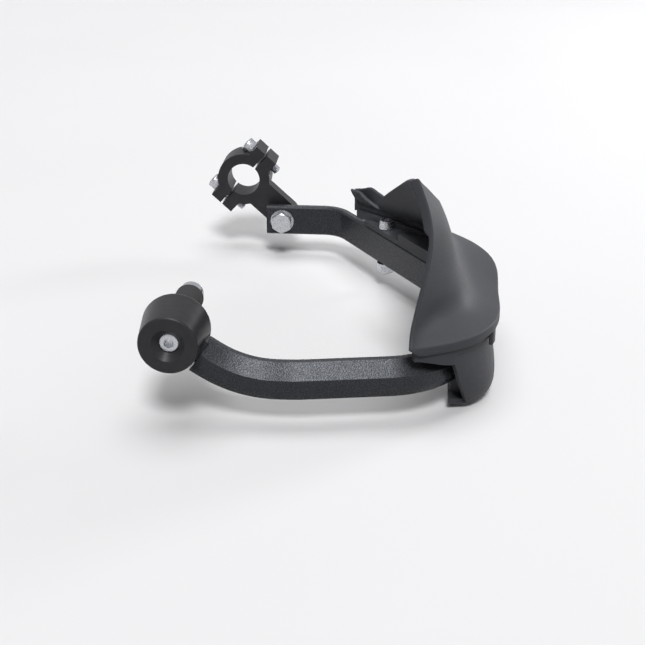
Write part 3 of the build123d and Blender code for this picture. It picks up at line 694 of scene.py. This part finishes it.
def spoiler_grid(brim_round):
    """Points of the spoiler's outer skin as rows and columns, in metres."""
    lines = [np.array([(x, y, z) for x, y in points], float) for z, points in SPOILER_LINES]
    curves = [curve_through(chord_knots(line), line) for line in lines]
    rise = chord_knots(np.array([line.mean(0) for line in lines]))
    slope = curve_through([-x for x, _ in TOP_SLOPE], [[z] for _, z in TOP_SLOPE])
    ends = np.array(END_STEPS) / BRIM_LENGTH
    places = np.concatenate([ends, np.linspace(SKIN_INSET, 1 - SKIN_INSET, SKIN_COLUMNS), 1 - ends[::-1]])

    def column(u):
        return curve_through(rise, [curve(u) for curve in curves])

    def top_of(u):
        lift = column(u)
        return halve(0, 1, lambda v: lift(v)[2] > top_height(lift(v)[0], slope))

    for corner in (TOP_SLOPE[-1][0], NOTCH[0], FIN_TOP[0]):
        u = halve(0, 1, lambda t: column(t)(top_of(t))[0] < corner)
        places[np.argmin(np.abs(places - u))] = u
    columns = []
    for u in places:
        lift = column(u)
        path = np.array([lift(v) for v in np.linspace(0, top_of(u), PATH_POINTS)])
        along = np.concatenate([[0], np.cumsum(np.linalg.norm(np.diff(path, axis=0), axis=1))])

        def surface(distance):
            return np.array([np.interp(distance, along, path[:, axis]) for axis in range(3)])

        brim = path[0]
        turn = min(brim_round / MM, 0.35 * along[-1])
        foot, shelf = brim - (0, 0, turn), surface(turn)
        from_end = np.linalg.norm(brim - lines[0][0])
        bottom = BRIM_BOTTOM + BRIM_END_RISE * max(0.0, 1 - from_end / BRIM_END_LENGTH)
        wall = [foot + (0, 0, (bottom - foot[2]) * share) for share in BRIM_WALL_SHARES]
        bend = [(1 - t)**2 * foot + 2 * t * (1 - t) * brim + t**2 * shelf
                for t in np.linspace(0, 1, BRIM_BEND_POINTS)]
        steps = edge_steps(along[-1] - turn, SKIN_ROWS, EDGE_STEPS)
        columns.append(wall + bend + [surface(turn + step) for step in steps[1:]])
    return np.array(columns).transpose(1, 0, 2) * MM


def upright_grid(feet, shares):
    """Points of an upright wall as rows and columns, in metres: feet are x, y, bottom and top."""
    columns = [[(x, y, bottom + (top - bottom) * share) for share in shares] for x, y, bottom, top in feet]
    return np.array(columns).transpose(1, 0, 2) * MM


def end_wall_grid():
    """Points of the low wall that closes the brim's inboard end."""
    line = np.array(SPOILER_LINES[0][1], float)
    brim = curve_through(chord_knots(line), line)
    tops = curve_through([-x for x, _ in END_WALL], [[z] for _, z in END_WALL])
    first = halve(0, 1, lambda t: brim(t)[0] < END_WALL[0][0])
    starts = first + (1 - first) * np.array(END_WALL_STARTS)
    feet = []
    for u in np.concatenate([starts, np.linspace(first, 1, END_WALL_COLUMNS)[2:]]):
        x, y = brim(u) + END_WALL_SET_BACK
        feet.append((x, y, END_WALL_BOTTOM, float(tops(-x)[0])))
    feet += [(x, y, END_WALL_BOTTOM, END_WALL[-1][1]) for x, y in END_WALL_RETURN]
    return upright_grid(feet, END_WALL_ROWS)


def skirt_grid():
    """Points of the lower moulding's skirt."""
    line = np.array(SKIRT, float)
    path = curve_through(chord_knots(line), line)
    feet = [(*path(u), SKIRT_TOP) for u in SKIRT_COLUMNS]
    return upright_grid(feet, SKIRT_ROWS)


def ease(share):
    """A share from 0 to 1 that starts and ends gently."""
    share = np.clip(share, 0, 1)
    return share * share * (3 - 2 * share)


def horn_thickness(grid, sizes):
    """Wall thickness over the spoiler's grid: thicker along the horn's upper edge."""
    from_edge = np.linalg.norm(grid - grid[:, :1], axis=2)
    near = ease(HORN_EDGE_FADE - from_edge / sizes.horn_edge_width)
    high = ease((grid[:, :, 2] - sizes.horn_edge_start) / HORN_EDGE_RISE)
    return sizes.skin + (sizes.horn_edge - sizes.skin) * near * high


def rounded_wall(grid, thickness, edge):
    """Outer and inner points of a wall behind a grid, with its edges rounded."""
    across, up = np.gradient(grid, axis=1), np.gradient(grid, axis=0)
    normal = np.cross(up, across)
    normal /= np.linalg.norm(normal, axis=2, keepdims=True)
    if normal[:, :, 1].mean() < 0:
        normal = -normal

    def gap(axis):
        steps = np.linalg.norm(np.diff(grid, axis=axis), axis=2)
        walked = np.cumsum(steps, axis=axis)
        zero = np.zeros_like(np.take(walked, [0], axis=axis))
        before = np.concatenate([zero, walked], axis=axis)
        return np.minimum(before, np.take(before, [-1], axis=axis) - before)

    half = np.broadcast_to(thickness, grid.shape[:2]) / 2
    radius = np.minimum(half, edge)
    inside = np.clip(np.minimum(gap(0), gap(1)) / radius, 0, 1)
    swell = half - radius + np.sqrt(1 - (1 - inside)**2) * radius
    middle = grid - normal * half[..., None]
    return middle + normal * swell[..., None], middle - normal * swell[..., None]


def sheet_mesh(points):
    """A grid primitive whose corners are moved to rows of points."""
    rows, columns = points.shape[:2]
    bpy.ops.object.select_all(action="DESELECT")
    bpy.ops.mesh.primitive_grid_add(x_subdivisions=columns - 1, y_subdivisions=rows - 1)
    piece = bpy.context.object
    piece.data.vertices.foreach_set("co", points.reshape(-1).astype(np.float32))
    piece.data.update()
    return piece


def closed_wall(grid, thickness, edge):
    """A closed wall behind a grid, of one thickness or one for each point, bridged along its rims."""
    outer, inner = rounded_wall(grid, thickness, edge)
    wall = join(sheet_mesh(outer), sheet_mesh(inner[:, ::-1]))
    bpy.ops.object.mode_set(mode="EDIT")
    bpy.ops.mesh.select_mode(type="EDGE")
    bpy.ops.mesh.select_all(action="DESELECT")
    bpy.ops.mesh.select_non_manifold(
        extend=False, use_wire=False, use_boundary=True, use_multi_face=False,
        use_non_contiguous=False, use_verts=False)
    bpy.ops.mesh.bridge_edge_loops()
    bpy.ops.mesh.select_all(action="SELECT")
    bpy.ops.mesh.normals_make_consistent(inside=False)
    bpy.ops.object.mode_set(mode="OBJECT")
    return smooth(wall, degrees=40)


def brim_clip():
    """The short clip that hangs below the brim."""
    bpy.ops.object.select_all(action="DESELECT")
    bpy.ops.mesh.primitive_cube_add(size=1)
    clip = bpy.context.object
    clip.scale = [side * MM for side in CLIP_SIZE]
    bpy.ops.object.transform_apply(scale=True)
    apply_modifier(clip, "BEVEL", width=CLIP_ROUND * MM, segments=ROUND_SEGMENTS)
    clip.rotation_euler = (0, 0, math.radians(CLIP_TURN))
    clip.location = (CLIP_POINT[0] * MM, CLIP_POINT[1] * MM, (BRIM_BOTTOM - CLIP_DROP) * MM)
    alone(clip)
    bpy.ops.object.transform_apply(location=True, rotation=True)
    return smooth(clip)


def screw_boss(x, y):
    """A bored boss under the shelf, over a plan point in millimetres."""
    boss = carve(turned(metres(BOSS_PROFILE), segments=32), turned(metres(BOSS_BORE), segments=32))
    return smooth(stand(boss, (x * MM, y * MM, 0), (0, 0, 1)))


class GUARD_OT_spoiler(bpy.types.Operator):
    """Models the upper moulding with its rolled brim, horn, notch and fin"""

    bl_idname = "guard.spoiler"
    bl_label = "Spoiler"

    def execute(self, context):
        sizes = context.scene.guard_sizes
        grid = spoiler_grid(sizes.brim_round)
        shell = closed_wall(grid, horn_thickness(grid, sizes), sizes.skin_round)
        low_wall = closed_wall(end_wall_grid(), sizes.skin, sizes.skin_round)
        bosses = [screw_boss(x, y) for x, y in BOSS_POINTS]
        piece = join(shell, low_wall, brim_clip(), *bosses)
        hand_over(piece, "spoiler_moulding", "grained_plastic", "shell_plastic", "spoiler")
        return {"FINISHED"}


class GUARD_OT_lower_shell(bpy.types.Operator):
    """Models the lower moulding with its skirt and rounded edges"""

    bl_idname = "guard.lower_shell"
    bl_label = "Lower shell"

    def execute(self, context):
        sizes = context.scene.guard_sizes
        skirt = closed_wall(skirt_grid(), sizes.skin, sizes.shell_round)
        piece = join(softened_copy("lower_shell", sizes.shell_round), skirt)
        hand_over(piece, "lower_moulding", "grained_plastic", "shell_plastic", "lower_shell")
        return {"FINISHED"}


class GUARD_OT_bow(bpy.types.Operator):
    """Models the coated bow with its rounded edges"""

    bl_idname = "guard.bow"
    bl_label = "Bow"

    def execute(self, context):
        piece = softened_copy("guard_bow", context.scene.guard_sizes.bow_round)
        hand_over(piece, "coated_bow", "powder_coat", "bow_coat", "guard_bow")
        return {"FINISHED"}


class GUARD_OT_weight(bpy.types.Operator):
    """Coats the turned bar-end weight"""

    bl_idname = "guard.weight"
    bl_label = "Bar-end weight"

    def execute(self, context):
        coat(NODES["bar_end_weight"], "turned_black")
        return {"FINISHED"}


class GUARD_OT_clamp(bpy.types.Operator):
    """Models the two halves of the clamp at the bow's inner end"""

    bl_idname = "guard.clamp"
    bl_label = "Clamp"

    def execute(self, context):
        width = context.scene.guard_sizes.metal_round
        for node, name in (("clamp_body", "clamp_lug_half"), ("clamp_cap", "clamp_cap_half")):
            hand_over(softened_copy(node, width), name, "milled_black", "black_metal", node)
        return {"FINISHED"}


def fit_fastener(piece, name, node):
    """Smooths a finished fastener and puts it in the place of its CAD node."""
    hand_over(smooth(piece, degrees=30), name, "zinc_plate", "zinc_steel", node)


def middle_of(node):
    """Middle of a CAD node's box."""
    low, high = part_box(node)
    return (low + high) / 2


class GUARD_OT_socket_screws(bpy.types.Operator):
    """Models the knurled socket cap screws with their threads"""

    bl_idname = "guard.socket_screws"
    bl_label = "Socket screws"

    def execute(self, context):
        pitch = context.scene.guard_sizes.thread_pitch
        for node, direction in (("bar_end_screw", Vector((1, 0, 0))), ("strap_screw", Vector((0, 0, 1)))):
            low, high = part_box(node)
            middle = middle_of(node)
            top = high.dot(direction)
            seat = middle + direction * (top - M6_HEAD_HEIGHT - middle.dot(direction))
            length = (high - low).dot(direction) - M6_HEAD_HEIGHT
            screw = stand(socket_screw(length, pitch), seat, direction)
            fit_fastener(screw, node.replace("screw", "socket_screw"), node)
        centre = Vector((middle_of("clamp_screws").x, 0, 0))
        pair = []
        for side in (-1, 1):
            seat = centre + CLAMP_ACROSS * side * CLAMP_SCREW_OFFSET - CLAMP_SLOPE * CLAMP_SCREW_SEAT
            pair.append(stand(socket_screw(CLAMP_SCREW_LENGTH, pitch), seat, -CLAMP_SLOPE))
        fit_fastener(join(*pair), "clamp_socket_screws", "clamp_screws")
        return {"FINISHED"}


def hex_nut(flats, height, bore):
    """A chamfered nut that stands on height 0."""
    blank = hex_blank(flats, 0, height, chamfer_both=True)
    return carve(blank, turned([(bore, -BORE_START), (bore, 2 * height)]))


class GUARD_OT_hex_fasteners(bpy.types.Operator):
    """Models the hexagon bolt and the nuts with turned chamfers"""

    bl_idname = "guard.hex_fasteners"
    bl_label = "Bolt and nuts"

    def execute(self, context):
        along = Vector((1, 0, 0))
        low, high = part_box("clamp_bolt")
        middle = middle_of("clamp_bolt")
        head = hex_blank(M8_FLATS, 0, M8_HEAD_HEIGHT, chamfer_both=False)
        steps = thread_steps(M8_RADIUS, M8_PITCH, -M8_PLAIN_SHANK, M8_HEAD_HEIGHT - (high.x - low.x))
        shank = turned(steps + [(M8_RADIUS, M8_RUN_OUT - M8_PLAIN_SHANK), (M8_RADIUS, M8_OVERLAP)])
        bolt = stand(join(head, shank), (high.x - M8_HEAD_HEIGHT, middle.y, middle.z), along)
        fit_fastener(bolt, "clamp_hex_bolt", "clamp_bolt")
        low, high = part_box("clamp_nut")
        middle = middle_of("clamp_nut")
        nut = hex_nut(M8_FLATS, high.x - low.x, M8_RADIUS + NUT_GAP)
        fit_fastener(stand(nut, (low.x, middle.y, middle.z), along), "clamp_hex_nut", "clamp_nut")
        nuts = []
        for node, base in (("corner_pad", CORNER_NUT_BASE), ("strap_washer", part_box("shell_nuts")[0].z)):
            middle = middle_of(node)
            nut = hex_nut(M6_NUT_FLATS, M6_NUT_HEIGHT, M6_RADIUS + NUT_GAP)
            nuts.append(stand(nut, (middle.x, middle.y, base), (0, 0, 1)))
        fit_fastener(join(*nuts), "shell_hex_nuts", "shell_nuts")
        return {"FINISHED"}


class GUARD_OT_shell_screws(bpy.types.Operator):
    """Models the button screw under the chin and the pan-head screws under the deck"""

    bl_idname = "guard.shell_screws"
    bl_label = "Shell screws"

    def execute(self, context):
        pitch = context.scene.guard_sizes.thread_pitch
        down = Vector((0, 0, -1))
        low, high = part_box("corner_screw")
        middle = middle_of("corner_screw")
        height = BUTTON_HEAD[-1][1] * MM
        head = turned(metres(BUTTON_HEAD), segments=64)
        carve(head, hexagon(BUTTON_KEY, *BUTTON_SOCKET))
        shank = screw_shank(M6_RADIUS, pitch, high.z - low.z - height, BUTTON_OVERLAP)
        screw = stand(join(head, shank), (middle.x, middle.y, low.z + height), down)
        fit_fastener(screw, "corner_button_screw", "corner_screw")
        low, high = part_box("spoiler_screws")
        height = PAN_HEAD[-1][1] * MM
        row = []
        for x, y in BOSS_POINTS:
            head = turned(metres(PAN_HEAD))
            carve(head, hexagon(PAN_KEY, *PAN_SOCKET))
            steps = thread_steps(PAN_RADIUS, PAN_PITCH, -0.5 * PAN_PITCH, height - (high.z - low.z))
            shank = turned(steps + [(PAN_RADIUS, PAN_OVERLAP)], segments=32)
            row.append(stand(join(head, shank), (x * MM, y * MM, low.z + height), down))
        fit_fastener(join(*row), "spoiler_pan_screws", "spoiler_screws")
        return {"FINISHED"}


class GUARD_OT_small_pieces(bpy.types.Operator):
    """Coats the washers, spacer, pad and expander"""

    bl_idname = "guard.small_pieces"
    bl_label = "Small pieces"

    def execute(self, context):
        for node, finish in (
            ("clamp_washers", "zinc_plate"),
            ("strap_washer", "zinc_plate"),
            ("expander_nut", "zinc_plate"),
            ("corner_spacer", "milled_black"),
            ("corner_pad", "soft_rubber"),
            ("expander_sleeve", "soft_rubber"),
        ):
            coat(NODES[node], finish)
        return {"FINISHED"}


def add_light(kind, name, place, target):
    """A studio light at a place that faces a point."""
    bpy.ops.object.light_add(type=kind, location=place)
    light = bpy.context.object
    light.name = name
    light.rotation_euler = (Vector(target) - Vector(place)).to_track_quat("-Z", "Y").to_euler()
    return light.data


def far_light(name, place, target, degrees, strength):
    """A far light of a given angular width."""
    light = add_light("SUN", name, place, target)
    light.angle = math.radians(degrees)
    light.energy = strength


def soft_light(name, place, target, size, power):
    """A rectangular light close by."""
    light = add_light("AREA", name, place, target)
    light.shape = "RECTANGLE"
    light.size, light.size_y = size
    light.energy = power


def seen_rays(tree):
    """1 for the rays that show the studio itself: camera, glossy and transmission rays."""
    rays = tree.nodes.new("ShaderNodeLightPath")
    value = rays.outputs["Is Camera Ray"]
    for name in ("Is Glossy Ray", "Is Transmission Ray"):
        either = tree.nodes.new("ShaderNodeMath")
        either.operation = "MAXIMUM"
        tree.links.new(value, either.inputs[0])
        tree.links.new(rays.outputs[name], either.inputs[1])
        value = either.outputs["Value"]
    return value


def studio_paint(colours):
    """Pale floor paint that throws little light back on the object."""
    paint, shader, place = new_finish("studio_paint", roughness=0.8, metallic=0.0)
    shader.inputs["Specular IOR Level"].default_value = 0.1
    link = paint.node_tree.links.new
    cloud = noise(paint, place, scale=3, detail=2)
    tint = ramp(paint, cloud, [(NOISE_LOW, shade(colours.floor, 0.98)), (NOISE_HIGH, colours.floor)])
    pale = paint.node_tree.nodes.new("ShaderNodeMix")
    pale.data_type = "RGBA"
    pale.inputs["A"].default_value = (*shade(colours.floor, FLOOR_BOUNCE), 1)
    link(seen_rays(paint.node_tree), pale.inputs["Factor"])
    link(tint, pale.inputs["B"])
    link(pale.outputs["Result"], shader.inputs["Base Color"])
    return paint


def lay_floor(colours):
    """The floor, just under the lowest point of the object."""
    bpy.ops.object.select_all(action="DESELECT")
    bpy.ops.mesh.primitive_plane_add(size=FLOOR_SIZE, location=(0, 0, CAD_BOX[0][2] - FLOOR_GAP))
    floor = bpy.context.object
    floor.name = "studio_floor"
    floor.data.materials.append(studio_paint(colours))


def fill_air(scene):
    """A dim world that shows brighter in reflections."""
    world = bpy.data.worlds.new("studio_air")
    scene.world = world
    world.use_nodes = True
    nodes, link = world.node_tree.nodes, world.node_tree.links.new
    strength = nodes.new("ShaderNodeMapRange")
    strength.inputs["To Min"].default_value = AIR_LIGHT
    strength.inputs["To Max"].default_value = AIR_SEEN
    link(seen_rays(world.node_tree), strength.inputs["Value"])
    air = nodes["Background"]
    air.inputs["Color"].default_value = AIR_COLOUR
    link(strength.outputs["Result"], air.inputs["Strength"])


def place_camera(scene):
    """The camera at the photograph's viewing angle."""
    bpy.ops.object.camera_add(location=CAMERA_PLACE)
    camera = bpy.context.object
    camera.name = "photo_camera"
    camera.data.lens = CAMERA_LENS
    camera.data.sensor_width = CAMERA_SENSOR
    camera.data.clip_start = CAMERA_NEAR
    back = CAMERA_RIGHT.cross(CAMERA_UP)
    camera.rotation_euler = Matrix((CAMERA_RIGHT, CAMERA_UP, back)).transposed().to_euler()
    scene.camera = camera


class GUARD_OT_stage(bpy.types.Operator):
    """Sets the floor, the lights, the background and the camera"""

    bl_idname = "guard.stage"
    bl_label = "Studio"

    def execute(self, context):
        scene = context.scene
        lay_floor(scene.guard_colours)
        far_light("top_light", **TOP_LIGHT)
        far_light("key_light", **KEY_LIGHT)
        soft_light("rim_light", **RIM_LIGHT)
        fill_air(scene)
        place_camera(scene)
        scene.view_settings.view_transform = "Standard"
        return {"FINISHED"}


class GUARD_PT_panel(bpy.types.Panel):
    """Lists the pieces of the hand guard"""

    bl_idname = "GUARD_PT_panel"
    bl_label = "Hand guard"
    bl_space_type = "VIEW_3D"
    bl_region_type = "UI"
    bl_category = "Hand guard"

    def draw(self, context):
        for operator in OPERATORS:
            self.layout.operator(operator.bl_idname)
        for group in (context.scene.guard_sizes, context.scene.guard_colours):
            for name in group.__annotations__:
                self.layout.prop(group, name)


OPERATORS = (
    GUARD_OT_spoiler,
    GUARD_OT_lower_shell,
    GUARD_OT_bow,
    GUARD_OT_weight,
    GUARD_OT_clamp,
    GUARD_OT_socket_screws,
    GUARD_OT_hex_fasteners,
    GUARD_OT_shell_screws,
    GUARD_OT_small_pieces,
    GUARD_OT_stage,
)
CLASSES = (GuardSizes, GuardColours, *OPERATORS, GUARD_PT_panel)


def register():
    for cls in CLASSES:
        bpy.utils.register_class(cls)
    bpy.types.Scene.guard_sizes = bpy.props.PointerProperty(type=GuardSizes)
    bpy.types.Scene.guard_colours = bpy.props.PointerProperty(type=GuardColours)


def unregister():
    del bpy.types.Scene.guard_colours
    del bpy.types.Scene.guard_sizes
    for cls in reversed(CLASSES):
        bpy.utils.unregister_class(cls)


def main():
    register()
    bpy.ops.guard.spoiler()
    bpy.ops.guard.lower_shell()
    bpy.ops.guard.bow()
    bpy.ops.guard.weight()
    bpy.ops.guard.clamp()
    bpy.ops.guard.socket_screws()
    bpy.ops.guard.hex_fasteners()
    bpy.ops.guard.shell_screws()
    bpy.ops.guard.small_pieces()
    bpy.ops.guard.stage()


if __name__ == "__main__":
    main()
